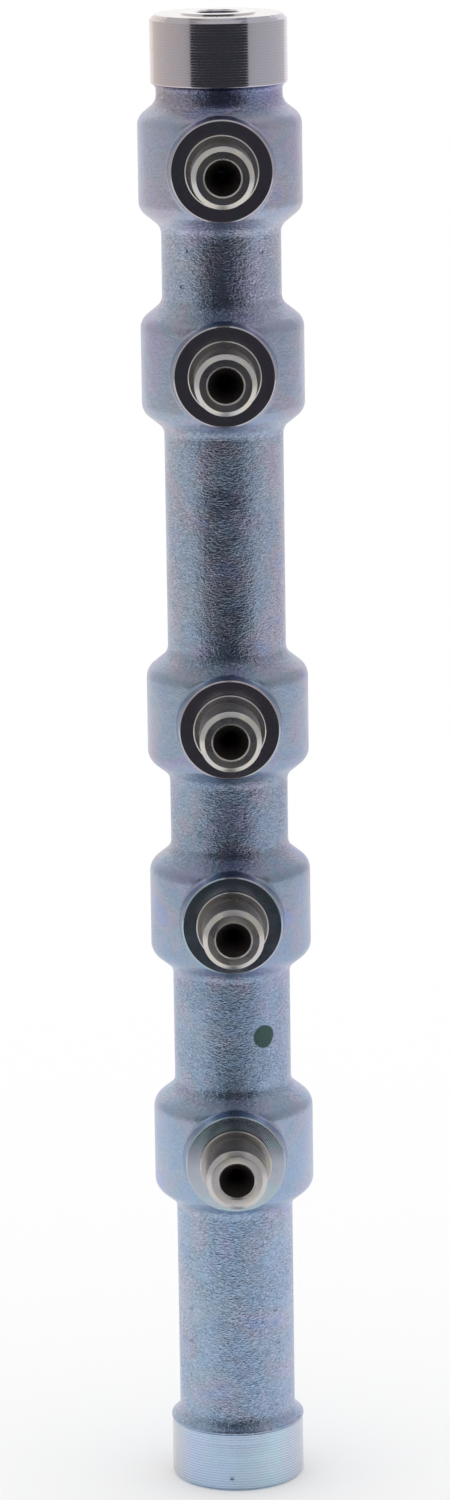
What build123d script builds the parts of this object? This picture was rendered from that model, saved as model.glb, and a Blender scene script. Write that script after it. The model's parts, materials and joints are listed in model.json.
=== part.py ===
from build123d import *

import os
from math import acos, ceil, degrees, radians, tan

# High-pressure fuel rail: one steel forging with five threaded outlet nipples.
#
# The rail stands on its lower end. +Z runs up the gallery, the origin is the centre of
# the lower end face, and the nipples point along -Y. Lengths are in millimetres.

# Forged tube and its five bosses
tube_diameter = 27.2
boss_diameter = 37.2
boss_length = 24.7              # between the middles of a boss's two shoulders
shoulder_slope = 51.0           # degrees between a shoulder and the rail's axis
shoulder_crest_radius = 3.8
shoulder_foot_radius = 3.4

# Outlets, from the lowest one up
first_outlet_height = 82.0
outlet_pitches = (57.0, 46.0, 81.0, 46.0)

# Turned collar at the upper end, with the scooped neck below it
collar_diameter = 31.0
collar_length = 16.0
collar_chamfer = 1.2
collar_edge_radius = 0.45
neck_depth = 1.2
neck_length = 3.6
neck_slope = 62.0
neck_radius = 1.5

# Turned band at the lower end, below the forged lip and flare
band_diameter = 31.0
band_length = 13.9
band_chamfer = 0.8
lip_overhang = 0.15
lip_height = 0.6
lip_radius = 0.6
flare_slope = 54.0
flare_radius = 3.6

# A round of the outline is laid down as short flats, no further than this from the true arc
round_error = 0.09

# Forged pad of each outlet and the seat that is faced on it
seat_distance = 20.5            # from the rail's axis to the faced seat
seat_diameter = 22.5
seat_edge_chamfer = 0.35
pad_draft = 5.0

# Threaded nipple on each seat, drawn at its major diameter
nipple_length = 13.0
nipple_thread_diameter = 14.0
nipple_face_diameter = 11.8
root_collar_diameter = 16.6
root_collar_height = 0.8

# Sealing cone and drilling of each nipple
cone_mouth_diameter = 8.0
cone_angle = 60.0
outlet_drilling_diameter = 3.0

# Gallery and the tapped port at each end
gallery_diameter = 9.0
port_drill_diameter = 10.4
port_depth = 18.0
port_chamfer = 0.35
port_land_diameter = 17.0       # raised sealing land round the upper port
port_land_height = 0.4

# Worked out from the sizes above
tube_radius = tube_diameter / 2
boss_radius = boss_diameter / 2
collar_radius = collar_diameter / 2
neck_bottom_radius = collar_radius - neck_depth
band_radius = band_diameter / 2
lip_outer_radius = band_radius + lip_overhang
half_boss = boss_length / 2
shoulder_half_drop = (boss_radius - tube_radius) / 2 / tan(radians(shoulder_slope))
crest_offset = half_boss - shoulder_half_drop
foot_offset = half_boss + shoulder_half_drop
neck_foot_offset = crest_offset + (boss_radius - neck_bottom_radius) / tan(radians(shoulder_slope))

outlet_heights = [first_outlet_height]
for pitch in outlet_pitches:
    outlet_heights.append(outlet_heights[-1] + pitch)

collar_base = outlet_heights[-1] + neck_foot_offset + neck_length
collar_top = collar_base + collar_length
rail_length = collar_top + port_land_height


def rail_outline():
    """Outer outline, up the rail, as corners (radius, height) with a round for each."""
    lip_base = band_length + lip_overhang
    lip_top = lip_base + lip_height
    flare_top = lip_top + (lip_outer_radius - tube_radius) / tan(radians(flare_slope))
    neck_top = collar_base + neck_depth / tan(radians(neck_slope))
    corners = [
        (0, 0, 0),
        (band_radius - band_chamfer, 0, 0),
        (band_radius, band_chamfer, 0),
        (band_radius, band_length, 0),
        (lip_outer_radius, lip_base, 0),
        (lip_outer_radius, lip_top, lip_radius),
        (tube_radius, flare_top, flare_radius),
    ]
    for height in outlet_heights:
        corners += [
            (tube_radius, height - foot_offset, shoulder_foot_radius),
            (boss_radius, height - crest_offset, shoulder_crest_radius),
            (boss_radius, height + crest_offset, shoulder_crest_radius),
            (tube_radius, height + foot_offset, shoulder_foot_radius),
        ]
    corners.pop()
    corners += [
        (neck_bottom_radius, outlet_heights[-1] + neck_foot_offset, shoulder_foot_radius),
        (neck_bottom_radius, collar_base, neck_radius),
        (collar_radius, neck_top, collar_edge_radius),
        (collar_radius, collar_top - collar_chamfer, 0),
        (collar_radius - collar_chamfer, collar_top, 0),
        (port_land_diameter / 2, collar_top, 0),
        (port_land_diameter / 2, rail_length, 0),
        (0, rail_length, 0),
    ]
    return corners


def outlet_plane(height):
    """Plane through an outlet's axis: its x runs out along the nipple, its y is up."""
    return Plane(origin=(0, 0, height), x_dir=(0, -1, 0), z_dir=(-1, 0, 0))


def outlet_axis(height):
    return Axis((0, 0, height), (0, -1, 0))


def rounded(corners):
    """Points along an outline, with the round of each corner laid down as short flats."""
    points = []
    for before, corner, after in zip(corners, corners[1:], corners[2:]):
        here = Vector(*corner[:2])
        back = (Vector(*before[:2]) - here).normalized()
        ahead = (Vector(*after[:2]) - here).normalized()
        turn = 180 - back.get_angle(ahead)
        reach = corner[2] * tan(radians(turn / 2))
        if reach == 0:
            points.append(here)
            continue
        arc = TangentArc(here + back * reach, here + ahead * reach, tangent=-back, mode=Mode.PRIVATE)
        flat_turn = 2 * degrees(acos(1 - min(round_error / corner[2], 1)))
        flats = ceil(turn / flat_turn)
        points += [arc @ (step / flats) for step in range(flats + 1)]
    return [Vector(*corners[0][:2])] + points + [Vector(*corners[-1][:2])]


pad_reach = seat_distance - seat_edge_chamfer
pad_rim_radius = seat_diameter / 2 + seat_edge_chamfer
pad_root = pad_rim_radius + pad_reach * tan(radians(pad_draft))
nipple_tip = seat_distance + nipple_length
nipple_radius = nipple_thread_diameter / 2
tip_chamfer = nipple_radius - nipple_face_diameter / 2
root_collar_radius = root_collar_diameter / 2
root_collar_top = seat_distance + root_collar_height
mouth_radius = cone_mouth_diameter / 2
cone_depth = (mouth_radius - outlet_drilling_diameter / 2) / tan(radians(cone_angle / 2))

with BuildPart() as rail_body:
    # Forged and turned body, as one revolved outline
    with BuildSketch(Plane.XZ):
        with BuildLine():
            Polyline(*rounded(rail_outline()), close=True)
        make_face()
    revolve(axis=Axis.Z)

    # Drafted pad under each seat
    for height in outlet_heights:
        with BuildSketch(outlet_plane(height)):
            with BuildLine():
                Polyline(
                    (0, 0),
                    (0, pad_root),
                    (pad_reach, pad_rim_radius),
                    (seat_distance, seat_diameter / 2),
                    (seat_distance, 0),
                    close=True,
                )
            make_face()
        revolve(axis=outlet_axis(height))

    # Nipple turned on each seat
    for height in outlet_heights:
        with BuildSketch(outlet_plane(height)):
            with BuildLine():
                Polyline(
                    (tube_radius, 0),
                    (tube_radius, root_collar_radius),
                    (root_collar_top, root_collar_radius),
                    (root_collar_top, nipple_radius),
                    (nipple_tip - tip_chamfer, nipple_radius),
                    (nipple_tip, nipple_radius - tip_chamfer),
                    (nipple_tip, 0),
                    close=True,
                )
            make_face()
        revolve(axis=outlet_axis(height))

    # Sealing cone of each nipple, and the drilling from it into the gallery
    for height in outlet_heights:
        with BuildSketch(outlet_plane(height)):
            with BuildLine():
                Polyline(
                    (0, 0),
                    (0, outlet_drilling_diameter / 2),
                    (nipple_tip - cone_depth, outlet_drilling_diameter / 2),
                    (nipple_tip, mouth_radius),
                    (nipple_tip, 0),
                    close=True,
                )
            make_face()
        revolve(axis=outlet_axis(height), mode=Mode.SUBTRACT)

    # Gallery through the whole rail, and a tapped port drilled into each end
    for end_face in (Plane.XY.offset(rail_length), -Plane.XY):
        with Locations(end_face):
            CounterSinkHole(
                radius=port_drill_diameter / 2,
                counter_sink_radius=port_drill_diameter / 2 + port_chamfer,
                depth=port_depth,
                counter_sink_angle=90,
            )
    with Locations(Plane.XY.offset(rail_length)):
        Hole(radius=gallery_diameter / 2, depth=rail_length)

rail_body.part.label = "rail_body"
os.makedirs("parts", exist_ok=True)
export_step(rail_body.part, "parts/rail_body.step")
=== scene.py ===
import json
import math

import bmesh
import bpy
from mathutils import Matrix, Vector


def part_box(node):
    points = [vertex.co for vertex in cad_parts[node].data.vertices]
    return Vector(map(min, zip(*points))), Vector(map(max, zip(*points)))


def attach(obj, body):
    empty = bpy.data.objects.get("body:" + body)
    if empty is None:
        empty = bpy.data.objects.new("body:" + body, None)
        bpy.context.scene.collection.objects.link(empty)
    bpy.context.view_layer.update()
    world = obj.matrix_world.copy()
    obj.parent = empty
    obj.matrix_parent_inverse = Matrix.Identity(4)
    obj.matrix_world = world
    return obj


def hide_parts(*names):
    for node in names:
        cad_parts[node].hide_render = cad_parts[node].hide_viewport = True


# A forged, zinc-plated fuel rail: one solid part, standing on its lower end with its
# five outlet nipples towards -Y. Sizes here are in millimetres, and MM turns them into the
# metres that the frame uses.

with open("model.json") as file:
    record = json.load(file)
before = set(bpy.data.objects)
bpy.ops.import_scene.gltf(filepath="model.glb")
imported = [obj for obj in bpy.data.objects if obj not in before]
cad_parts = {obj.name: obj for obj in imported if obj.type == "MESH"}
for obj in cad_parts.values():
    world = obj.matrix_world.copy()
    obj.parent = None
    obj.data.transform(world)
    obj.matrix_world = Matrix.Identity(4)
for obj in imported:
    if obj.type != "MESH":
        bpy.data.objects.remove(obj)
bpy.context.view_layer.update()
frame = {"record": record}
record = frame["record"]

BODY_NODE = "rail_body"
MM = 0.001

# Forged tube and bosses
TUBE_RADIUS = 13.6
BOSS_RADIUS = 18.6
BOSS_LENGTH = 24.7              # between the middles of a boss's two shoulders
SHOULDER_SLOPE = math.radians(51)
SHOULDER_CREST_ROUND = 3.8
SHOULDER_FOOT_ROUND = 3.4

# Turned upper collar with its scooped neck and raised land
COLLAR_RADIUS = 15.5
COLLAR_LENGTH = 16.0
COLLAR_CHAMFER = 1.2
COLLAR_EDGE_ROUND = 0.45
NECK_DEPTH = 1.2
NECK_SLOPE = math.radians(62)
NECK_ROUND = 1.5
LAND_RADIUS = 8.5
LAND_HEIGHT = 0.4

# Turned lower band, with the forged lip and flare above it
BAND_RADIUS = 15.5
BAND_LENGTH = 13.9
BAND_CHAMFER = 0.8
LIP_OVERHANG = 0.15
LIP_HEIGHT = 0.6
LIP_ROUND = 0.6
LIP_EDGE_ROUND = 0.15           # of the lip's lower edge
FLARE_SLOPE = math.radians(54)
FLARE_ROUND = 3.6

# Outlet pad and its faced seat
SEAT_DISTANCE = 20.5
SEAT_RADIUS = 11.25
SEAT_CHAMFER = 0.35
PAD_DRAFT = math.radians(5)
PAD_ROOT_ROUND = 1.5
PAD_ROOT_REACH = 0.8            # the boss's slope beside a pad is read over this reach
PAD_ROOT_STEPS = 6
PAD_STEPS = 144

# Nipple, thread and sealing cone
NIPPLE_TIP = SEAT_DISTANCE + 13.0
THREAD_RADIUS = 7.0
THREAD_PITCH = 1.5
THREAD_DEPTH = 0.92
TIP_FACE_RADIUS = 5.9
TIP_LEAD = 0.45
ROOT_COLLAR_RADIUS = 8.3
ROOT_COLLAR_HEIGHT = 0.8
ROOT_COLLAR_CHAMFER = 0.25
CONE_MOUTH_RADIUS = 4.0
CONE_MOUTH_CHAMFER = 0.35
CONE_HALF_ANGLE = math.radians(30)
DRILLING_RADIUS = 1.5

# Gallery and end ports
GALLERY_RADIUS = 4.5
PORT_RADIUS = 5.2
PORT_DEPTH = 18.0
PORT_CHAMFER = 0.35
PORT_THREAD_DEPTH = 0.75
PORT_LEAD = 1.0                 # plain bore between the mouth and the thread
PORT_LEAD_STEP = 0.5            # over which it then widens to the thread's outer radius
PORT_RELIEF = 1.5               # plain bore below the thread
PORT_RELIEF_STEP = 0.7
PORT_END_STEP = 0.5             # from the port's bottom down to the gallery
PORT_THREAD_START = 2.2         # of the drawn thread, in from the mouth
PORT_THREAD_END = 2.5           # of the drawn thread, short of the port's bottom

# Where pieces of the one solid part lap, out of sight
END_LAP = 2.0                   # the forging runs on this far inside the band and the collar
SEAT_LAP = 0.15                 # a seat sinks this far into its pad
NIPPLE_LAP = 1.0                # a nipple's root sinks this far into its pad
SKIRT_WIDTH = 0.4               # a pad's root runs on this far, under the boss's skin
SKIRT_LAP = 0.06                # how deep under the skin that is
PAD_CORE_RADIUS = 5.0           # inner wall of a pad's shell
PAD_CORE_DEPTH = 8.0            # and how far in from the seat it reaches
RIDGE_LAP = 0.05                # a thread's ridge sinks this far into its core

# Small marks: dents in the forging as (degrees round from the front, height), a centre
# punch mark low on the band, and a dab of inspection paint on the tube
DENTS = ((-34, 293.4), (40, 292.8), (-42, 285.0), (-52, 43.3), (41, 43.3), (-52, 35.3), (45, 35.1))
DENT_RADIUS = 0.7
DENT_DEPTH = 0.26
PUNCH_ANGLE = -6.8
PUNCH_HEIGHT = 3.2
PUNCH_RADIUS = 0.5
PUNCH_DEPTH = 0.3
PAINT_ANGLE = 31.6
PAINT_HEIGHT = 110.2
PAINT_RADIUS = 2.75

EDGE_BREAK = 0.12               # what a finished edge is rounded to
SHARP_ANGLE = math.radians(24)  # faces that meet at more than this keep a hard edge
ARC_STEP = math.radians(6)      # a round is drawn with a point every 6 degrees
BODY_STEPS = 180                # flats of a full turn on the body, the collar and the band
NIPPLE_STEPS = 128
CONE_STEPS = 96
THREAD_STEPS = 72
MERGE_DISTANCE = 1e-6           # metres, under which two points are one

outlet_heights = [
    mount["pos_m"][2] / MM for mount in record["mounts"] if mount["name"].startswith("nipple_")
]
rail_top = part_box(BODY_NODE)[1][2] / MM
collar_top = rail_top - LAND_HEIGHT
collar_base = collar_top - COLLAR_LENGTH
shoulder_half_drop = (BOSS_RADIUS - TUBE_RADIUS) / 2 / math.tan(SHOULDER_SLOPE)
crest_offset = BOSS_LENGTH / 2 - shoulder_half_drop
foot_offset = BOSS_LENGTH / 2 + shoulder_half_drop
neck_radius = COLLAR_RADIUS - NECK_DEPTH
neck_top = collar_base + NECK_DEPTH / math.tan(NECK_SLOPE)
seat_rim = SEAT_DISTANCE - SEAT_CHAMFER
thread_core = THREAD_RADIUS - THREAD_DEPTH
cone_start = NIPPLE_TIP - CONE_MOUTH_CHAMFER
cone_end = cone_start - (CONE_MOUTH_RADIUS - DRILLING_RADIUS) / math.tan(CONE_HALF_ANGLE)
lip_base = BAND_LENGTH + LIP_OVERHANG
lip_top = lip_base + LIP_HEIGHT


def skin_point(radius, degrees, height):
    """A point at that radius and height, turned round the rail from its front."""
    angle = math.radians(degrees)
    return Vector((radius * math.sin(angle), -radius * math.cos(angle), height))


# ---------------------------------------------------------------- camera

FRAME_HEIGHT = 1500             # pixels, of a frame 450 wide
FOCAL_PIXELS = 5271.49
SENSOR = 36.0
CAMERA_DISTANCE = 1219.94
CAMERA_ELEVATION = math.radians(12.706)
CAMERA_AZIMUTH = math.radians(-0.95)
CAMERA_ROLL = math.radians(0.822)
AIM = Vector((-0.79, 0.0, 175.89))


def add_camera():
    """The camera looks slightly down at the nipples, with the rail leaning a little."""
    data = bpy.data.cameras.new("camera")
    data.sensor_width = SENSOR
    data.lens = FOCAL_PIXELS * SENSOR / FRAME_HEIGHT
    data.clip_end = 100
    camera = bpy.data.objects.new("camera", data)
    bpy.context.scene.collection.objects.link(camera)
    away = Vector((
        math.sin(CAMERA_AZIMUTH) * math.cos(CAMERA_ELEVATION),
        -math.cos(CAMERA_AZIMUTH) * math.cos(CAMERA_ELEVATION),
        math.sin(CAMERA_ELEVATION),
    ))
    right = Vector((0, 0, 1)).cross(away).normalized()
    up = away.cross(right)
    rolled_right = right * math.cos(CAMERA_ROLL) - up * math.sin(CAMERA_ROLL)
    rolled_up = up * math.cos(CAMERA_ROLL) + right * math.sin(CAMERA_ROLL)
    turn = Matrix((rolled_right, rolled_up, away)).transposed()
    camera.matrix_world = Matrix.Translation((AIM + away * CAMERA_DISTANCE) * MM) @ turn.to_4x4()
    bpy.context.scene.camera = camera


add_camera()


# ---------------------------------------------------------------- materials

# Patterns on the forging, in millimetres
WRINKLE_LENGTH = 0.7            # of one wrinkle, round the rail
WRINKLE_FLATNESS = 1.8          # a wrinkle's length round the rail over its height up it
WRINKLE_RELIEF = 0.28
SWELL_LENGTH = 2.6              # of the soft unevenness under the wrinkles
SWELL_RELIEF = 0.12
DEEP_PATCH = 9.0                # of the patches where the wrinkles are deeper
FILM_PATCH = 12.0               # of the passivation film's patches of colour
PAINT_WANDER = 0.6              # how far the paint's outline strays from a circle
PAINT_LOBE = 1.6                # of one lobe of that outline

# Patterns on the forging, as shares
# PIT_SHADE paints shade in the wrinkles' pits and a highlight on their crests
PIT_SHADE = 1.8                 # how much the plate's colour follows the wrinkles
BOSS_WRINKLES = 0.35            # depth of a boss's wrinkles over the tube's
FILM_DRIFT = 0.4                # how far the film's patches take its colour

MIX_COLOURS = {"data_type": "RGBA"}
MULTIPLY_COLOURS = {"data_type": "RGBA", "blend_type": "MULTIPLY"}


def linear(code):
    """An sRGB hex colour as the linear colour that a shader takes."""
    parts = [int(code[place:place + 2], 16) / 255 for place in (1, 3, 5)]
    return tuple(
        part / 12.92 if part <= 0.04045 else ((part + 0.055) / 1.055) ** 2.4 for part in parts
    ) + (1.0,)


def grey(level):
    return (level, level, level, 1.0)


def add_node(tree, kind, settings=None, **inputs):
    """Adds a node. An input is a value or the socket that feeds it; in2 is input 2.

    The setting stops holds a colour ramp's stops, as (position, sRGB hex).
    """
    node = tree.nodes.new(kind)
    settings = dict(settings or {})
    for number, (position, code) in enumerate(settings.pop("stops", ())):
        elements = node.color_ramp.elements
        stop = elements[number] if number < len(elements) else elements.new(position)
        stop.position = position
        stop.color = linear(code)
    for name, value in settings.items():
        setattr(node, name, value)
    for name, value in inputs.items():
        place = int(name[2:]) if name[:2] == "in" and name[2:].isdigit() else name.replace("_", " ")
        socket = node.inputs[place]
        if isinstance(value, bpy.types.NodeSocket):
            tree.links.new(value, socket)
        else:
            socket.default_value = value
    return node


def new_material(name):
    """An empty material, its node tree and the place on the piece that its patterns read."""
    material = bpy.data.materials.new(name)
    material.use_nodes = True
    material.node_tree.nodes.clear()
    place = add_node(material.node_tree, "ShaderNodeTexCoord").outputs["Object"]
    return material, material.node_tree, place


def finish_material(tree, colour, **surface):
    """Ends a material's tree with one surface of that colour."""
    shader = add_node(tree, "ShaderNodeBsdfPrincipled", Base_Color=colour, **surface)
    add_node(tree, "ShaderNodeOutputMaterial", Surface=shader.outputs["BSDF"])


def tinted(tree, place, tints, patch):
    """Colour that drifts between a few tints in patches of about that many millimetres."""
    drift = add_node(tree, "ShaderNodeTexNoise", Vector=place, Scale=1 / (patch * MM),
                     Detail=2.0, Roughness=0.5, Distortion=0.3)
    first, last = 0.3, 0.7      # what nearly all of a noise lies between
    step = (last - first) / (len(tints) - 1)
    stops = [(first + step * number, code) for number, code in enumerate(tints)]
    ramp = add_node(tree, "ShaderNodeValToRGB", {"stops": stops}, Fac=drift.outputs["Fac"])
    return ramp.outputs["Color"]


def off_axis(tree, place):
    """What a place holds square to the rail's axis."""
    return add_node(tree, "ShaderNodeVectorMath", {"operation": "MULTIPLY"}, in0=place,
                    in1=(1.0, 1.0, 0.0)).outputs["Vector"]


def paint_sheen_and_shade_round(tree, place, stops):
    """Painted sheen and shade laid round the rail, from its left side over the front or the back to its
    right.
    """
    facing = add_node(tree, "ShaderNodeVectorMath", {"operation": "NORMALIZE"}, in0=off_axis(tree, place))
    turn = add_node(tree, "ShaderNodeSeparateXYZ", Vector=facing.outputs["Vector"])
    share = add_node(tree, "ShaderNodeMapRange", Value=turn.outputs["X"], From_Min=-1.0, From_Max=1.0)
    ramp = add_node(tree, "ShaderNodeValToRGB", {"stops": stops}, Fac=share.outputs["Result"])
    return ramp.outputs["Color"]


def paint_relief_shade(tree, colour, height, depth):
    """The colour with painted shade and highlight: darker or brighter by a height about zero times a depth.
    """
    shade = add_node(tree, "ShaderNodeMath", {"operation": "MULTIPLY_ADD"}, in0=height, in1=depth, in2=1.0)
    return add_node(tree, "ShaderNodeVectorMath", {"operation": "SCALE"}, in0=colour,
                    Scale=shade.outputs[0]).outputs["Vector"]


def film_colour(tree, place):
    """Colour of the passivation film, up the rail and in patches, with painted sheen and shade round it and
    painted shade in the neck.
    """
    height = add_node(tree, "ShaderNodeSeparateXYZ", Vector=place).outputs["Z"]
    climb = add_node(tree, "ShaderNodeMapRange", Value=height, From_Max=rail_top * MM)
    film = add_node(tree, "ShaderNodeValToRGB", {"stops": (
        (0.2, "#A9BEDC"), (0.33, "#9CAECC"), (0.47, "#96A2BC"), (0.56, "#A2AEC6"), (0.78, "#AAB0C6"),
        (0.92, "#BCBCD2"))}, Fac=climb.outputs["Result"])
    tints = tinted(tree, place, ("#B8AFD2", "#B8B9C8", "#A0BACE", "#AFBDC0", "#C6B7BE", "#A4B0D8"),
                   FILM_PATCH)
    colour = add_node(tree, "ShaderNodeMix", MIX_COLOURS, Factor=FILM_DRIFT,
                      in6=film.outputs["Color"], in7=tints)
    # Painted sheen and shade round the rail: its sides lighter and pinker, its front and back darker and
    # bluer
    round_sheen_and_shade = paint_sheen_and_shade_round(tree, place, (
        (0.0, "#FFF8F8"), (0.15, "#F2F2F2"), (0.5, "#E6EBF2"), (0.85, "#F0F0F5"), (1.0, "#FFF6FA")))
    colour = add_node(tree, "ShaderNodeMix", MULTIPLY_COLOURS, Factor=1.0,
                      in6=colour.outputs[2], in7=round_sheen_and_shade)
    # Painted shade in the scooped neck, which lies between the uppermost boss and the turned collar
    in_neck_shade = add_node(tree, "ShaderNodeMapRange", Value=height, From_Min=(collar_base - 6) * MM,
                       From_Max=(collar_base - 2) * MM)
    neck_shade_tints = paint_sheen_and_shade_round(tree, place, (
        (0.0, "#F0DCD4"), (0.25, "#D8D0DA"), (0.5, "#CACDE2"), (0.85, "#D2D8EE"), (1.0, "#E0DCEC")))
    return add_node(tree, "ShaderNodeMix", MULTIPLY_COLOURS, Factor=in_neck_shade.outputs["Result"],
                    in6=colour.outputs[2], in7=neck_shade_tints).outputs[2]


def wrinkle_depth(tree, place, patches):
    """Share of their full depth that the wrinkles have: by patches, and less on a boss."""
    depth = add_node(tree, "ShaderNodeMapRange", Value=patches, From_Min=0.35, From_Max=0.65,
                     To_Min=0.6, To_Max=1.0)
    # The bosses are smoother than the tube, as if they were struck harder
    from_axis = add_node(tree, "ShaderNodeVectorMath", {"operation": "LENGTH"}, in0=off_axis(tree, place))
    struck = add_node(tree, "ShaderNodeMapRange", Value=from_axis.outputs["Value"],
                      From_Min=(TUBE_RADIUS + 0.5) * MM, From_Max=(BOSS_RADIUS - 1) * MM,
                      To_Min=1.0, To_Max=BOSS_WRINKLES)
    return add_node(tree, "ShaderNodeMath", {"operation": "MULTIPLY"}, in0=depth.outputs["Result"],
                    in1=struck.outputs["Result"]).outputs[0]


def paint_dab(tree, place):
    """1 inside a dab of paint with a slightly wandering outline, and 0 outside it."""
    wander = add_node(tree, "ShaderNodeTexNoise", Vector=place, Scale=1 / (PAINT_LOBE * MM), Detail=1.0)
    from_dab = add_node(tree, "ShaderNodeVectorMath", {"operation": "DISTANCE"}, in0=place,
                        in1=skin_point(TUBE_RADIUS, PAINT_ANGLE, PAINT_HEIGHT) * MM)
    edge = add_node(tree, "ShaderNodeMath", {"operation": "MULTIPLY_ADD"}, in0=wander.outputs["Fac"],
                    in1=PAINT_WANDER * MM, in2=from_dab.outputs["Value"])
    return add_node(tree, "ShaderNodeMapRange", Value=edge.outputs[0],
                    From_Min=(PAINT_RADIUS + 0.2) * MM, From_Max=(PAINT_RADIUS + 0.4) * MM,
                    To_Min=1.0, To_Max=0.0).outputs["Result"]


def forged_zinc():
    """Forged steel, descaled and zinc plated: by its look, with blue passivation.

    The forging's fine wrinkles and pits show through the plate, so it reflects softly,
    and the passivation film drifts from lavender at the top to pale blue at the foot.
    The scooped neck is darker with painted shade, the wrinkles carry painted shade and
    highlight, and painted sheen and shade run round the rail. One dab of green
    inspection paint hides the metal under it.
    """
    material, tree, place = new_material("forged_zinc_plate")
    grain = add_node(tree, "ShaderNodeVectorMath", {"operation": "MULTIPLY"}, in0=place,
                     in1=(1.0, 1.0, WRINKLE_FLATNESS))
    wrinkles = add_node(tree, "ShaderNodeTexNoise", Vector=grain.outputs["Vector"],
                        Scale=1 / (WRINKLE_LENGTH * MM), Detail=2.0, Roughness=0.5, Distortion=0.6)
    patches = add_node(tree, "ShaderNodeTexNoise", Vector=place, Scale=1 / (DEEP_PATCH * MM), Detail=1.0)
    depth = wrinkle_depth(tree, place, patches.outputs["Fac"])
    relief = add_node(tree, "ShaderNodeMath", {"operation": "MULTIPLY"}, in0=wrinkles.outputs["Fac"],
                      in1=depth)
    swell = add_node(tree, "ShaderNodeTexNoise", Vector=place, Scale=1 / (SWELL_LENGTH * MM), Detail=1.0)
    soft = add_node(tree, "ShaderNodeBump", Distance=SWELL_RELIEF * MM, Height=swell.outputs["Fac"])
    bump = add_node(tree, "ShaderNodeBump", Distance=WRINKLE_RELIEF * MM, Height=relief.outputs[0],
                    Normal=soft.outputs["Normal"])
    rough = add_node(tree, "ShaderNodeMapRange", Value=patches.outputs["Fac"], From_Min=0.3,
                     From_Max=0.7, To_Min=0.27, To_Max=0.33)

    # Wrinkles this fine hardly show by their relief, so they are drawn as colour too:
    # painted shade in the pits and a painted highlight on the crests
    level = add_node(tree, "ShaderNodeMath", {"operation": "MULTIPLY_ADD"}, in0=wrinkles.outputs["Fac"],
                     in1=PIT_SHADE, in2=-PIT_SHADE / 2)
    plated = paint_relief_shade(tree, film_colour(tree, place), level.outputs[0], depth)

    paint = paint_dab(tree, place)
    colour = add_node(tree, "ShaderNodeMix", MIX_COLOURS, Factor=paint, in6=plated, in7=linear("#1E4340"))
    metal = add_node(tree, "ShaderNodeMath", {"operation": "SUBTRACT"}, in0=1.0, in1=paint)
    finish_material(tree, colour.outputs[2], Metallic=metal.outputs[0],
                    Roughness=rough.outputs["Result"], Normal=bump.outputs["Normal"])
    return material


def turned_zinc(name, tints, patch, groove_pitch, groove_depth, roughness, torn_crests=0.0,
                painted_crest_highlight=0.0, round_sheen_and_shade=None, faced=False, painted_highlight_from=None):
    """Turned or rolled steel with bright zinc plate: fine tool grooves run round the piece.

    The grooves follow the piece's own turned map, which holds the distance from the
    lathe axis and the distance along it, in millimetres. A faced piece is grooved across
    its end, any other along its side. The crests are torn, which adds torn_crests to
    their roughness, and carry a painted highlight by the share in painted_crest_highlight, so that
    fine grooves show. Beyond the distance painted_highlight_from lies an end face with a painted highlight,
    near white.
    """
    material, tree, place = new_material(name)
    colour = tinted(tree, place, tints, patch)
    # Painted sheen and shade round the piece, mixed into its tints
    if round_sheen_and_shade:
        round_painting = paint_sheen_and_shade_round(tree, place, round_sheen_and_shade)
        colour = add_node(tree, "ShaderNodeMix", MIX_COLOURS, Factor=0.7, in6=colour, in7=round_painting).outputs[2]
    turned = add_node(tree, "ShaderNodeUVMap", {"uv_map": "turned"}).outputs["UV"]
    split = add_node(tree, "ShaderNodeSeparateXYZ", Vector=turned)
    along = split.outputs["X" if faced else "Y"]
    feed = add_node(tree, "ShaderNodeMath", {"operation": "MULTIPLY"}, in0=along, in1=math.tau / groove_pitch)
    ridges = add_node(tree, "ShaderNodeMath", {"operation": "SINE"}, in0=feed.outputs[0])
    # The tool leaves some grooves deeper than others
    uneven = add_node(tree, "ShaderNodeTexNoise", {"noise_dimensions": "1D"}, W=along,
                      Scale=0.45 / groove_pitch, Detail=2.0, Roughness=0.6)
    deeper = add_node(tree, "ShaderNodeMapRange", Value=uneven.outputs["Fac"], From_Min=0.3,
                      From_Max=0.7, To_Min=0.6, To_Max=1.0)
    groove = add_node(tree, "ShaderNodeMath", {"operation": "MULTIPLY"}, in0=ridges.outputs[0],
                      in1=deeper.outputs["Result"])
    bump = add_node(tree, "ShaderNodeBump", Distance=groove_depth / 2 * MM, Height=groove.outputs[0])

    # Painted highlight on the groove crests and painted shade in the grooves
    colour = paint_relief_shade(tree, colour, groove.outputs[0], painted_crest_highlight)
    # Painted highlight: the end face is drawn near white
    if painted_highlight_from:
        in_highlit_face = add_node(tree, "ShaderNodeMapRange", Value=split.outputs["Y"],
                           From_Min=painted_highlight_from - 0.1, From_Max=painted_highlight_from)
        colour = add_node(tree, "ShaderNodeMix", MIX_COLOURS, Factor=in_highlit_face.outputs["Result"],
                          in6=colour, in7=linear("#F2ECEC")).outputs[2]

    smear = add_node(tree, "ShaderNodeTexNoise", Vector=place, Scale=1 / (6 * MM), Detail=2.0)
    rough = add_node(tree, "ShaderNodeMapRange", Value=smear.outputs["Fac"], From_Min=0.3,
                     From_Max=0.7, To_Min=roughness * 0.8, To_Max=roughness * 1.3)
    torn = add_node(tree, "ShaderNodeMapRange", Value=groove.outputs[0], From_Min=0.2, From_Max=0.9,
                    To_Min=0.0, To_Max=torn_crests)
    rough = add_node(tree, "ShaderNodeMath", {"operation": "ADD"}, in0=rough.outputs["Result"],
                     in1=torn.outputs["Result"])
    finish_material(tree, colour, Metallic=1.0, Roughness=rough.outputs[0], Normal=bump.outputs["Normal"])
    return material


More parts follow.
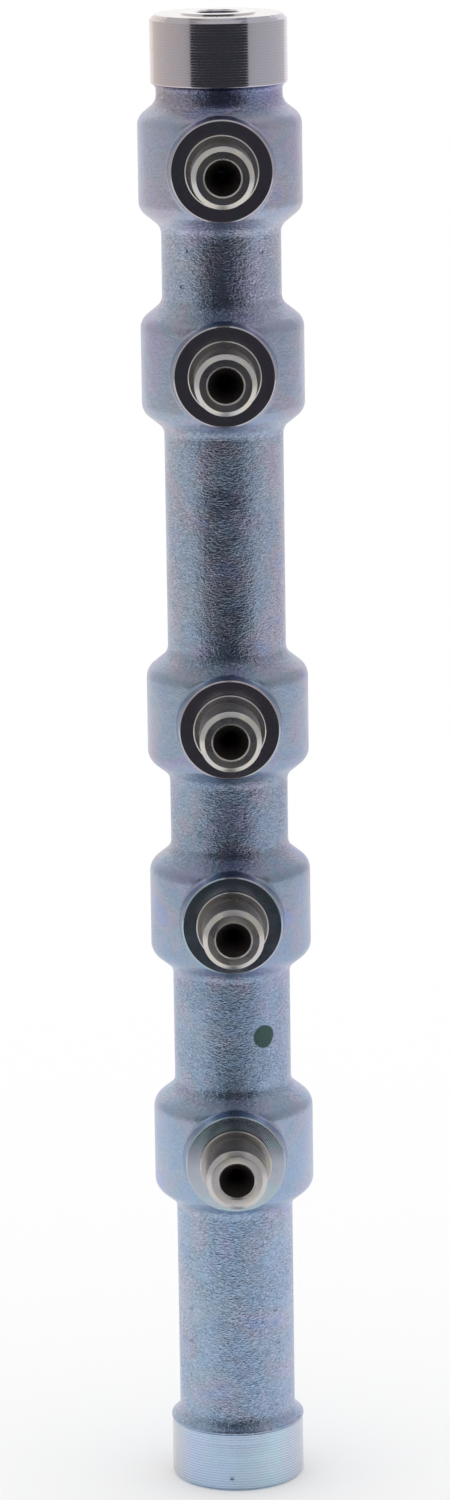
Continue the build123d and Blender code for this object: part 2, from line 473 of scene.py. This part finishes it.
def bore_steel_in_painted_shade():
    """Bored steel inside a nipple: dull and faintly brown, and dark with painted shade of the hole."""
    material, tree, place = new_material("bore_steel_painted_shade")
    finish_material(tree, tinted(tree, place, ("#6A605C", "#5E585A", "#706660"), 3), Metallic=1.0,
                    Roughness=0.42)
    return material


forged_finish = forged_zinc()

# Turned fine with a sharp tool: it mirrors the room, crossed by hair-thin lines with a
# faint painted highlight. Its end face carries a painted highlight.
collar_finish = turned_zinc(
    "turned_zinc_collar", ("#CDC1C4", "#CBC5CE", "#C8C8D4", "#CEC7CF", "#D1C5C2"), patch=7,
    groove_pitch=0.62, groove_depth=0.005, roughness=0.1, torn_crests=0.22, painted_crest_highlight=0.03,
    round_sheen_and_shade=((0.0, "#DDC8BC"), (0.12, "#CFC2C2"), (0.5, "#CAC6D0"), (0.88, "#C9C8D4"), (1.0, "#D2C8D2")),
    painted_highlight_from=collar_top)

# Turned with a coarse feed: even pale lines, painted highlights on the groove crests,
# over a sky-blue film, too open to mirror
band_finish = turned_zinc(
    "turned_zinc_band", ("#B8C8E3", "#B4CBDC", "#B2CCD6", "#C0C4D8", "#B9C8E3"), patch=8,
    groove_pitch=0.65, groove_depth=0.034, roughness=0.17, torn_crests=0.2, painted_crest_highlight=0.2,
    round_sheen_and_shade=((0.0, "#D4CBCB"), (0.15, "#B5C6E2"), (0.5, "#A6BDD3"), (0.8, "#BCD2E2"), (1.0, "#CCCAD6")))

# Feed marks on seats and nipples, usually some 0.15 mm apart, are drawn coarser to show.
# Faced flat: a smooth ring that mirrors what is in front, so it looks nearly black
seat_finish = turned_zinc(
    "faced_zinc_seat", ("#C0B8C0", "#BEB4BC", "#B6BABE", "#C4BABA"), patch=8,
    groove_pitch=0.4, groove_depth=0.003, roughness=0.16, faced=True)

# The same, with the bluer film of the rail's lower half
low_seat_finish = turned_zinc(
    "faced_zinc_low_seat", ("#B0B8C4", "#B2B6C4", "#A6BCC4", "#B6BAC2"), patch=8,
    groove_pitch=0.4, groove_depth=0.003, roughness=0.16, faced=True)

# Turned and rubbed: bright and faintly warm, with hardly any film
nipple_finish = turned_zinc(
    "turned_zinc_nipple", ("#CDC9C4", "#C6C4C6", "#CFCABF", "#C9C5C4"), patch=5,
    groove_pitch=0.35, groove_depth=0.002, roughness=0.28)

# Taken as rolled between dies, the usual way: dull, its skin pressed and not cut, and a
# darker grey that is painted shade of the dark its flanks reflect
thread_finish_painted_shade = turned_zinc(
    "rolled_zinc_thread_painted_shade", ("#A8A29E", "#A09EA4", "#ACA69C"), patch=4,
    groove_pitch=0.35, groove_depth=0.002, roughness=0.4)

bore_finish_painted_shade = bore_steel_in_painted_shade()


# ---------------------------------------------------------------- making pieces

def rounded(corners):
    """The closed outline through corners (radius, height, round), its rounds in small steps."""
    points = []
    count = len(corners)
    for number, (radius, height, fillet) in enumerate(corners):
        here = Vector((radius, height))
        back = (Vector(corners[number - 1][:2]) - here).normalized()
        ahead = (Vector(corners[(number + 1) % count][:2]) - here).normalized()
        turn = math.pi - back.angle(ahead)
        if fillet == 0 or turn < 0.01:
            points.append(here)
            continue
        centre = here + (back + ahead).normalized() * fillet / math.cos(turn / 2)
        start = here + back * fillet * math.tan(turn / 2) - centre
        side = 1 if back.x * ahead.y - back.y * ahead.x < 0 else -1
        steps = max(2, math.ceil(turn / ARC_STEP))
        for step in range(steps + 1):
            angle = side * turn * step / steps
            swung = Vector((
                start.x * math.cos(angle) - start.y * math.sin(angle),
                start.x * math.sin(angle) + start.y * math.cos(angle),
            ))
            points.append(centre + swung)
    return points


class Axis:
    """A lathe axis: a foot on the rail's axis, and the way out along the piece."""

    def __init__(self, foot, along, across):
        self.foot = Vector(foot)
        self.along = Vector(along)
        self.across = Vector(across)

    def point(self, radius, distance):
        return (self.foot + self.across * radius + self.along * distance) * MM

    def measure(self, place):
        """(radius, distance) of a point, in millimetres."""
        from_foot = place / MM - self.foot
        distance = from_foot.dot(self.along)
        return (from_foot - self.along * distance).length, distance


def rail_axis():
    return Axis((0, 0, 0), (0, 0, 1), (1, 0, 0))


def outlet_axis(height):
    return Axis((0, 0, height), (0, -1, 0), (1, 0, 0))


def finish_mesh(bm, axis):
    """Merges doubles, turns the faces out, marks hard edges and draws the turned map."""
    bmesh.ops.remove_doubles(bm, verts=bm.verts, dist=MERGE_DISTANCE)
    bmesh.ops.recalc_face_normals(bm, faces=bm.faces)
    turned = bm.loops.layers.uv.verify()
    for face in bm.faces:
        face.smooth = True
        for loop in face.loops:
            loop[turned].uv = axis.measure(loop.vert.co)
    for edge in bm.edges:
        edge.smooth = edge.calc_face_angle(0) < SHARP_ANGLE


def add_piece(name, bm, axis, material):
    """Makes the finished mesh a piece of the rail that rides on its one body."""
    finish_mesh(bm, axis)
    mesh = bpy.data.meshes.new(name)
    bm.to_mesh(mesh)
    bm.free()
    mesh.uv_layers[0].name = "turned"
    mesh.materials.append(material)
    piece = bpy.data.objects.new(name, mesh)
    bpy.context.scene.collection.objects.link(piece)
    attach(piece, "root")
    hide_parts(BODY_NODE)


def turn_outline(corners, axis, steps):
    """A closed outline spun round an axis into a closed solid."""
    bm = bmesh.new()
    verts = [bm.verts.new(axis.point(point.x, point.y)) for point in rounded(corners)]
    edges = [bm.edges.new((verts[number - 1], vert)) for number, vert in enumerate(verts)]
    bmesh.ops.spin(bm, geom=verts + edges, cent=axis.foot * MM, axis=axis.along,
                   angle=math.tau, steps=steps, use_merge=True)
    return bm


def thread_ridge(axis, root, crest, start, end):
    """A helical ridge between two distances along the axis, with both its ends closed."""
    bm = bmesh.new()
    half_root = THREAD_PITCH * 0.44         # near a 60 degree thread: wide root, narrow crest
    half_crest = THREAD_PITCH * 0.07
    section = ((root, -half_root), (crest, -half_crest), (crest, half_crest), (root, half_root))
    verts = [bm.verts.new(axis.point(radius, start + offset)) for radius, offset in section]
    edges = [bm.edges.new((verts[number - 1], vert)) for number, vert in enumerate(verts)]
    turns = (end - start) / THREAD_PITCH
    bmesh.ops.spin(bm, geom=verts + edges, cent=axis.foot * MM, axis=axis.along,
                   angle=math.tau * turns, steps=round(THREAD_STEPS * turns),
                   dvec=axis.along * THREAD_PITCH * MM / THREAD_STEPS)
    bmesh.ops.holes_fill(bm, edges=bm.edges, sides=4)
    return bm


def clamp_radius(bm, axis, limit):
    """Brings each point in to the largest radius allowed at its distance."""
    for vert in bm.verts:
        radius, distance = axis.measure(vert.co)
        allowed = limit(distance)
        if radius > allowed:
            centre = (axis.foot + axis.along * distance) * MM
            vert.co = centre + (vert.co - centre) * (allowed / radius)


# ---------------------------------------------------------------- the forged body

def body_corners():
    """Outline of the forging from the flare to the neck: (radius, height, round).

    Its first three corners lie inside the turned band, and its last two in the collar.
    """
    flare_top = lip_top + (BAND_RADIUS + LIP_OVERHANG - TUBE_RADIUS) / math.tan(FLARE_SLOPE)
    corners = [
        (GALLERY_RADIUS, BAND_LENGTH - END_LAP, 0),
        (BAND_RADIUS - 0.5, BAND_LENGTH - END_LAP, 0),
        (BAND_RADIUS - 0.3, BAND_LENGTH - 0.1, 0),
        (BAND_RADIUS + LIP_OVERHANG, lip_base, LIP_EDGE_ROUND),
        (BAND_RADIUS + LIP_OVERHANG, lip_top, LIP_ROUND),
        (TUBE_RADIUS, flare_top, FLARE_ROUND),
    ]
    for height in outlet_heights:
        corners += [
            (TUBE_RADIUS, height - foot_offset, SHOULDER_FOOT_ROUND),
            (BOSS_RADIUS, height - crest_offset, SHOULDER_CREST_ROUND),
            (BOSS_RADIUS, height + crest_offset, SHOULDER_CREST_ROUND),
            (TUBE_RADIUS, height + foot_offset, SHOULDER_FOOT_ROUND),
        ]
    corners.pop()               # the uppermost boss runs into the neck and not into the tube
    neck_foot = outlet_heights[-1] + crest_offset + (BOSS_RADIUS - neck_radius) / math.tan(SHOULDER_SLOPE)
    corners += [
        (neck_radius, neck_foot, SHOULDER_FOOT_ROUND),
        (neck_radius, collar_base, NECK_ROUND),
        (COLLAR_RADIUS - 0.1, neck_top - 0.1 / math.tan(NECK_SLOPE), 0),
        (COLLAR_RADIUS - 0.6, neck_top + END_LAP, 0),
        (GALLERY_RADIUS, neck_top + END_LAP, 0),
    ]
    return corners


def body_radius_at(height, outline):
    """Outer radius of the forging at a height, read along its rounded outline."""
    for low, high in zip(outline, outline[1:]):
        if low.y <= height <= high.y and high.y > low.y:
            share = (height - low.y) / (high.y - low.y)
            return low.x + (high.x - low.x) * share
    return BOSS_RADIUS


def cut_away(bm, cutters):
    """Cuts every cutter out of the mesh, with Blender's exact boolean."""
    host_mesh = bpy.data.meshes.new("host")
    bm.to_mesh(host_mesh)
    host = bpy.data.objects.new("host", host_mesh)
    tool_mesh = bpy.data.meshes.new("tool")
    cutters.to_mesh(tool_mesh)
    tool = bpy.data.objects.new("tool", tool_mesh)
    for each in (host, tool):
        bpy.context.scene.collection.objects.link(each)
    cut = host.modifiers.new("cut", "BOOLEAN")
    cut.operation = "DIFFERENCE"
    cut.solver = "EXACT"
    cut.object = tool
    bpy.context.view_layer.update()
    result = bpy.data.meshes.new_from_object(host.evaluated_get(bpy.context.evaluated_depsgraph_get()))
    bm.clear()
    bm.from_mesh(result)
    for each in (host, tool):
        bpy.data.objects.remove(each)
    for mesh in (host_mesh, tool_mesh, result):
        bpy.data.meshes.remove(mesh)
    cutters.free()


def add_dent_ball(cutters, skin_radius, degrees, height, radius, depth):
    """A ball that presses a dent of that radius and depth into a round skin."""
    ball = (radius ** 2 + depth ** 2) / (2 * depth)
    centre = skin_point(skin_radius + ball - depth, degrees, height) * MM
    bmesh.ops.create_icosphere(cutters, subdivisions=4, radius=ball * MM, matrix=Matrix.Translation(centre))


def body_cutters():
    """A rod for each outlet drilling, from the gallery to the seat, and a ball for each dent."""
    cutters = bmesh.new()
    for degrees, height in DENTS:
        add_dent_ball(cutters, TUBE_RADIUS, degrees, height, DENT_RADIUS, DENT_DEPTH)
    for height in outlet_heights:
        axis = outlet_axis(height)
        lie_down = Matrix.Rotation(math.pi / 2, 4, "X")
        place = Matrix.Translation(axis.point(0, SEAT_DISTANCE / 2)) @ lie_down
        bmesh.ops.create_cone(cutters, cap_ends=True, segments=32, radius1=(DRILLING_RADIUS + 0.05) * MM,
                              radius2=(DRILLING_RADIUS + 0.05) * MM, depth=SEAT_DISTANCE * MM, matrix=place)
    return cutters


body_outline = rounded(body_corners())
body = turn_outline(body_corners(), rail_axis(), BODY_STEPS)
bmesh.ops.recalc_face_normals(body, faces=body.faces)
cut_away(body, body_cutters())
add_piece("forged_rail", body, rail_axis(), forged_finish)


# ---------------------------------------------------------------- turned ends

def port_corners(mouth, inward):
    """Bore of an end port, from the gallery out to its mouth, for an annular outline.

    The bore is drawn at the thread's outer radius, with a plain lead at the mouth.
    """
    bore = PORT_RADIUS + PORT_THREAD_DEPTH
    lead = mouth + inward * PORT_LEAD
    deep = mouth + inward * PORT_DEPTH
    return [
        (GALLERY_RADIUS, deep + inward * PORT_END_STEP, 0),
        (PORT_RADIUS, deep, 0),
        (PORT_RADIUS, deep - inward * PORT_RELIEF, 0),
        (bore, deep - inward * (PORT_RELIEF + PORT_RELIEF_STEP), 0),
        (bore, lead + inward * PORT_LEAD_STEP, 0),
        (PORT_RADIUS, lead, 0),
        (PORT_RADIUS, mouth + inward * PORT_CHAMFER, EDGE_BREAK),
        (PORT_RADIUS + PORT_CHAMFER, mouth, EDGE_BREAK),
    ]


def make_collar():
    """Turned collar with its chamfer, raised land and tapped port.

    Its last three corners lie inside the forging.
    """
    corners = port_corners(rail_top, -1) + [
        (LAND_RADIUS, rail_top, EDGE_BREAK),
        (LAND_RADIUS, collar_top, 0),
        (COLLAR_RADIUS - COLLAR_CHAMFER, collar_top, EDGE_BREAK),
        (COLLAR_RADIUS, collar_top - COLLAR_CHAMFER, EDGE_BREAK),
        (COLLAR_RADIUS, neck_top, COLLAR_EDGE_ROUND),
        (COLLAR_RADIUS - 0.5, neck_top - 0.5 / math.tan(NECK_SLOPE), 0),
        (COLLAR_RADIUS - 1.0, neck_top + 1.0, 0),
        (GALLERY_RADIUS, neck_top + 1.0, 0),
    ]
    collar = turn_outline(corners[::-1], rail_axis(), BODY_STEPS)
    add_piece("turned_collar", collar, rail_axis(), collar_finish)


def make_band():
    """Turned band at the foot, with its chamfer and tapped port.

    Its last three corners lie inside the forging, round the port's deep end.
    """
    port_wall = PORT_RADIUS + PORT_THREAD_DEPTH + 2
    port_wall_top = PORT_DEPTH + 1.5
    corners = port_corners(0, 1) + [
        (BAND_RADIUS - BAND_CHAMFER, 0, EDGE_BREAK),
        (BAND_RADIUS, BAND_CHAMFER, EDGE_BREAK),
        (BAND_RADIUS, BAND_LENGTH, 0.05),
        (port_wall, BAND_LENGTH, 0),
        (port_wall, port_wall_top, 0),
        (GALLERY_RADIUS, port_wall_top, 0),
    ]
    band = turn_outline(corners, rail_axis(), BODY_STEPS)
    bmesh.ops.recalc_face_normals(band, faces=band.faces)
    punch = bmesh.new()
    add_dent_ball(punch, BAND_RADIUS, PUNCH_ANGLE, PUNCH_HEIGHT, PUNCH_RADIUS, PUNCH_DEPTH)
    cut_away(band, punch)
    add_piece("turned_band", band, rail_axis(), band_finish)


def make_port_thread(name, low, high, material):
    """Thread of an end port, standing in from the bore."""
    axis = rail_axis()
    ridge = thread_ridge(axis, PORT_RADIUS + PORT_THREAD_DEPTH + RIDGE_LAP, PORT_RADIUS, low, high)
    add_piece(name, ridge, axis, material)


make_collar()
make_band()
make_port_thread("upper_port_thread", rail_top - PORT_DEPTH + PORT_THREAD_END,
                 rail_top - PORT_THREAD_START, collar_finish)
make_port_thread("lower_port_thread", PORT_THREAD_START, PORT_DEPTH - PORT_THREAD_END, band_finish)


# ---------------------------------------------------------------- outlets

def side_radius(distance):
    """Radius of a pad's drafted side at a distance out from the rail's axis."""
    return SEAT_RADIUS + SEAT_CHAMFER + (seat_rim - distance) * math.tan(PAD_DRAFT)


def boss_distance(radius, angle, height):
    """How far out the forging's skin is, at a radius and angle round an outlet."""
    skin = body_radius_at(height + radius * math.sin(angle), body_outline)
    return math.sqrt(skin ** 2 - (radius * math.cos(angle)) ** 2)


def root_section(angle, height):
    """Section of the round where a pad's side meets the boss, as (radius, distance)."""
    # The side and the skin close in on their meeting point, each worked out from the other
    distance = SEAT_DISTANCE - 2
    for _ in range(12):
        distance = boss_distance(side_radius(distance), angle, height)
    meet = Vector((side_radius(distance), distance))
    up = Vector((-math.tan(PAD_DRAFT), 1)).normalized()
    beyond = meet.x + PAD_ROOT_REACH
    out = (Vector((beyond, boss_distance(beyond, angle, height))) - meet).normalized()
    turn = math.pi - up.angle(out)
    reach = PAD_ROOT_ROUND * math.tan(turn / 2)
    centre = meet + (up + out).normalized() * PAD_ROOT_ROUND / math.cos(turn / 2)
    start = meet + up * reach - centre
    points = []
    for step in range(PAD_ROOT_STEPS + 1):
        swing = turn * step / PAD_ROOT_STEPS
        points.append(centre + Vector((
            start.x * math.cos(swing) - start.y * math.sin(swing),
            start.x * math.sin(swing) + start.y * math.cos(swing),
        )))
    foot = points[-1]
    sunk = boss_distance(foot.x + SKIRT_WIDTH, angle, height) - SKIRT_LAP
    return points + [Vector((foot.x + SKIRT_WIDTH, sunk))]


def make_pad(number, height):
    """Forged pad of an outlet: its drafted side runs into the boss with a soft root.

    The pad is spun from a plain ladder of rings, and each of its columns then takes the
    section that belongs to its angle, because the boss falls away round the pad.
    """
    axis = outlet_axis(height)
    ladder_step = 0.1
    rings = PAD_ROOT_STEPS + 5
    bm = bmesh.new()
    ring_of = bm.verts.layers.int.new("ring")
    verts = []
    for ring in range(rings):
        vert = bm.verts.new(axis.point(PAD_CORE_RADIUS + ring * ladder_step, seat_rim - ring * ladder_step))
        vert[ring_of] = ring
        verts.append(vert)
    edges = [bm.edges.new((verts[place - 1], vert)) for place, vert in enumerate(verts)]
    bmesh.ops.spin(bm, geom=verts + edges, cent=axis.foot * MM, axis=axis.along,
                   angle=math.tau, steps=PAD_STEPS, use_merge=True)
    bmesh.ops.remove_doubles(bm, verts=bm.verts, dist=MERGE_DISTANCE)
    ring_of = bm.verts.layers.int["ring"]
    sections = {}
    for vert in bm.verts:
        angle = math.atan2(vert.co.z / MM - height, vert.co.x / MM)
        column = round(angle / math.tau * PAD_STEPS) % PAD_STEPS
        if column not in sections:
            sections[column] = [
                Vector((PAD_CORE_RADIUS, seat_rim)),
                Vector((side_radius(seat_rim), seat_rim)),
                *root_section(angle, height),
                Vector((PAD_CORE_RADIUS, SEAT_DISTANCE - PAD_CORE_DEPTH)),
            ]
        place = sections[column][vert[ring_of]]
        vert.co = axis.point(0, place.y) + Vector((math.cos(angle), 0, math.sin(angle))) * place.x * MM
    add_piece(f"outlet_pad_{number}", bm, axis, forged_finish)


def make_seat(number, height):
    """Faced seat of an outlet, a thin disc with a broken edge."""
    axis = outlet_axis(height)
    bore = DRILLING_RADIUS + 1
    corners = [
        (bore, seat_rim - SEAT_LAP, 0),
        (SEAT_RADIUS + SEAT_CHAMFER - 0.05, seat_rim - SEAT_LAP, 0),
        (SEAT_RADIUS + SEAT_CHAMFER, seat_rim, EDGE_BREAK / 2),
        (SEAT_RADIUS, SEAT_DISTANCE, EDGE_BREAK),
        (bore, SEAT_DISTANCE, 0),
    ]
    finish = low_seat_finish if height < rail_top / 2 else seat_finish
    add_piece(f"outlet_seat_{number}", turn_outline(corners, axis, PAD_STEPS), axis, finish)


def make_nipple(number, height):
    """Turned nipple: root collar, thread core, plain lead and end face, bored for the cone."""
    axis = outlet_axis(height)
    thread_end = NIPPLE_TIP - (THREAD_RADIUS - TIP_FACE_RADIUS)
    lead_base = thread_end - TIP_LEAD
    root_top = SEAT_DISTANCE + ROOT_COLLAR_HEIGHT
    bore = DRILLING_RADIUS + 0.3
    bore_end = GALLERY_RADIUS + 6
    cone_hole_end = cone_end - 1
    corners = [
        (bore, bore_end, 0),
        (DRILLING_RADIUS + 1.5, bore_end, 0),
        (ROOT_COLLAR_RADIUS - 1, SEAT_DISTANCE - NIPPLE_LAP, 0),
        (ROOT_COLLAR_RADIUS, SEAT_DISTANCE - 0.3, 0),
        (ROOT_COLLAR_RADIUS, root_top - ROOT_COLLAR_CHAMFER, EDGE_BREAK / 2),
        (ROOT_COLLAR_RADIUS - ROOT_COLLAR_CHAMFER, root_top, EDGE_BREAK / 2),
        (thread_core, root_top, 0.4),
        (thread_core, lead_base - 0.5, 0),
        (THREAD_RADIUS, lead_base, EDGE_BREAK / 2),
        (THREAD_RADIUS, thread_end, EDGE_BREAK),
        (TIP_FACE_RADIUS, NIPPLE_TIP, EDGE_BREAK),
        (CONE_MOUTH_RADIUS + CONE_MOUTH_CHAMFER, NIPPLE_TIP, EDGE_BREAK / 2),
        (CONE_MOUTH_RADIUS, cone_start, 0),
        (CONE_MOUTH_RADIUS, cone_hole_end, 0),
        (bore, cone_hole_end, 0),
    ]
    add_piece(f"outlet_nipple_{number}", turn_outline(corners, axis, NIPPLE_STEPS), axis, nipple_finish)


def make_nipple_thread(number, height):
    """Thread of a nipple, which fades out towards the root collar."""
    axis = outlet_axis(height)
    thread_end = NIPPLE_TIP - (THREAD_RADIUS - TIP_FACE_RADIUS) - TIP_LEAD - 0.3
    run_out = SEAT_DISTANCE + ROOT_COLLAR_HEIGHT + 0.6
    ridge = thread_ridge(axis, thread_core - RIDGE_LAP, THREAD_RADIUS, run_out, thread_end)
    clamp_radius(ridge, axis, lambda distance: thread_core + max(0.0, distance - run_out) * 0.7)
    add_piece(f"outlet_thread_{number}", ridge, axis, thread_finish_painted_shade)


def make_cone(number, height):
    """Sealing cone inside a nipple, with the drilling that runs on into the gallery."""
    axis = outlet_axis(height)
    outer = CONE_MOUTH_RADIUS + 0.1
    pipe = DRILLING_RADIUS + 0.6
    shoulder = cone_end - 0.5
    drilling_end = GALLERY_RADIUS + 5
    corners = [
        (DRILLING_RADIUS, drilling_end, 0),
        (pipe, drilling_end, 0),
        (pipe, shoulder, 0),
        (outer, shoulder, 0),
        (outer, cone_start - 0.05, 0),
        (CONE_MOUTH_RADIUS, cone_start, 0),
        (DRILLING_RADIUS, cone_end, EDGE_BREAK),
    ]
    add_piece(f"outlet_cone_{number}", turn_outline(corners, axis, CONE_STEPS), axis, bore_finish_painted_shade)


for number, height in enumerate(outlet_heights, 1):
    make_pad(number, height)
    make_seat(number, height)
    make_nipple(number, height)
    make_nipple_thread(number, height)
    make_cone(number, height)


# ---------------------------------------------------------------- floor, cards and light

# The studio round the rail, in metres
FLOOR_REACH = 15
ROOM_HEIGHT = 1.6
ROOM_SIDE = 1.2                 # from the rail out to each side wall
WALL_REACH = 1.6                # of the side walls, before and behind the rail
FLAG_DISTANCE = 0.31
FLAG_WIDTH = 0.7
FLAG_HEIGHT = 1.1
SHADE_WIDTH = 1.2               # of the darker part of the ceiling, over and behind the rail
SHADE_LENGTH = 1.0

FLOOR_WHITE = 0.93
FLAG_BLACK = (0.045, 0.046, 0.055, 1.0)
CEILING_GREY = grey(0.65)
SHADE_GREY = grey(0.32)


def floor_material():
    """Matt white floor. What it lacks of pure white it glows, for the camera and in
    reflections only, so its shadows stay."""
    material, tree, _ = new_material("floor_white")
    matt = add_node(tree, "ShaderNodeBsdfDiffuse", Color=grey(FLOOR_WHITE))
    path = add_node(tree, "ShaderNodeLightPath")
    seen = add_node(tree, "ShaderNodeMath", {"operation": "MAXIMUM"},
                    in0=path.outputs["Is Camera Ray"], in1=path.outputs["Is Glossy Ray"])
    seen = add_node(tree, "ShaderNodeMath", {"operation": "MAXIMUM"},
                    in0=seen.outputs[0], in1=path.outputs["Is Transmission Ray"])
    level = add_node(tree, "ShaderNodeMath", {"operation": "MULTIPLY"}, in0=seen.outputs[0],
                     in1=1.0 - FLOOR_WHITE)
    glow = add_node(tree, "ShaderNodeEmission", Color=grey(1.0), Strength=level.outputs[0])
    both = add_node(tree, "ShaderNodeAddShader", in0=matt.outputs[0], in1=glow.outputs[0])
    add_node(tree, "ShaderNodeOutputMaterial", Surface=both.outputs[0])
    return material


def card_material(name, front, back):
    """A studio card that glows, its colour running from in front of the rail to behind it."""
    material, tree, place = new_material(name)
    depth = add_node(tree, "ShaderNodeSeparateXYZ", Vector=place).outputs["Y"]
    share = add_node(tree, "ShaderNodeMapRange", Value=depth, From_Min=-WALL_REACH, From_Max=WALL_REACH)
    colour = add_node(tree, "ShaderNodeMix", MIX_COLOURS, Factor=share.outputs["Result"],
                      in6=front, in7=back)
    shader = add_node(tree, "ShaderNodeEmission", Color=colour.outputs[2], Strength=1.0)
    add_node(tree, "ShaderNodeOutputMaterial", Surface=shader.outputs[0])
    return material


def add_card(name, centre, right, up, material, only_reflected=True):
    """A flat stage card, in metres, that spans right and up from its centre."""
    bm = bmesh.new()
    centre, right, up = Vector(centre), Vector(right), Vector(up)
    corners = [centre - right - up, centre + right - up, centre + right + up, centre - right + up]
    bm.faces.new([bm.verts.new(corner) for corner in corners])
    mesh = bpy.data.meshes.new(name)
    bm.to_mesh(mesh)
    bm.free()
    mesh.materials.append(material)
    card = bpy.data.objects.new(name, mesh)
    bpy.context.scene.collection.objects.link(card)
    if only_reflected:
        card.visible_camera = False
        card.visible_diffuse = False
        card.visible_shadow = False


def make_studio():
    """A white floor, and grey cards that only the metal's reflections see.

    The dark flag in front gives each round its dark middle, the darker part of the
    ceiling its dark upper shoulders, and the walls, which brighten towards the back,
    its bright sides.
    """
    add_card("floor", (0, 0, 0), (FLOOR_REACH, 0, 0), (0, FLOOR_REACH, 0), floor_material(),
             only_reflected=False)
    add_card("dark_flag", (0, -FLAG_DISTANCE, FLAG_HEIGHT / 2), (FLAG_WIDTH / 2, 0, 0),
             (0, 0, FLAG_HEIGHT / 2), card_material("flag_black", FLAG_BLACK, FLAG_BLACK))
    add_card("ceiling", (0, 0, ROOM_HEIGHT), (ROOM_SIDE, 0, 0), (0, ROOM_SIDE, 0),
             card_material("ceiling_grey", CEILING_GREY, CEILING_GREY))
    add_card("ceiling_shade", (0, SHADE_LENGTH / 2, ROOM_HEIGHT - 0.01), (SHADE_WIDTH / 2, 0, 0),
             (0, SHADE_LENGTH / 2, 0), card_material("ceiling_dark", SHADE_GREY, SHADE_GREY))
    for side, place, front, back in (("left", -ROOM_SIDE, 0.4, 0.8), ("right", ROOM_SIDE, 0.44, 0.7)):
        add_card(f"wall_{side}", (place, 0, ROOM_HEIGHT / 2), (0, WALL_REACH, 0),
                 (0, 0, ROOM_HEIGHT / 2), card_material(f"wall_grey_{side}", grey(front), grey(back)))


def light_world():
    """An even white studio round the object."""
    world = bpy.data.worlds.new("studio")
    world.use_nodes = True
    tree = world.node_tree
    tree.nodes.clear()
    background = add_node(tree, "ShaderNodeBackground", Color=grey(1.0), Strength=1.0)
    add_node(tree, "ShaderNodeOutputWorld", Surface=background.outputs["Background"])
    bpy.context.scene.world = world


make_studio()
light_world()
bpy.context.scene.view_settings.view_transform = "Standard"
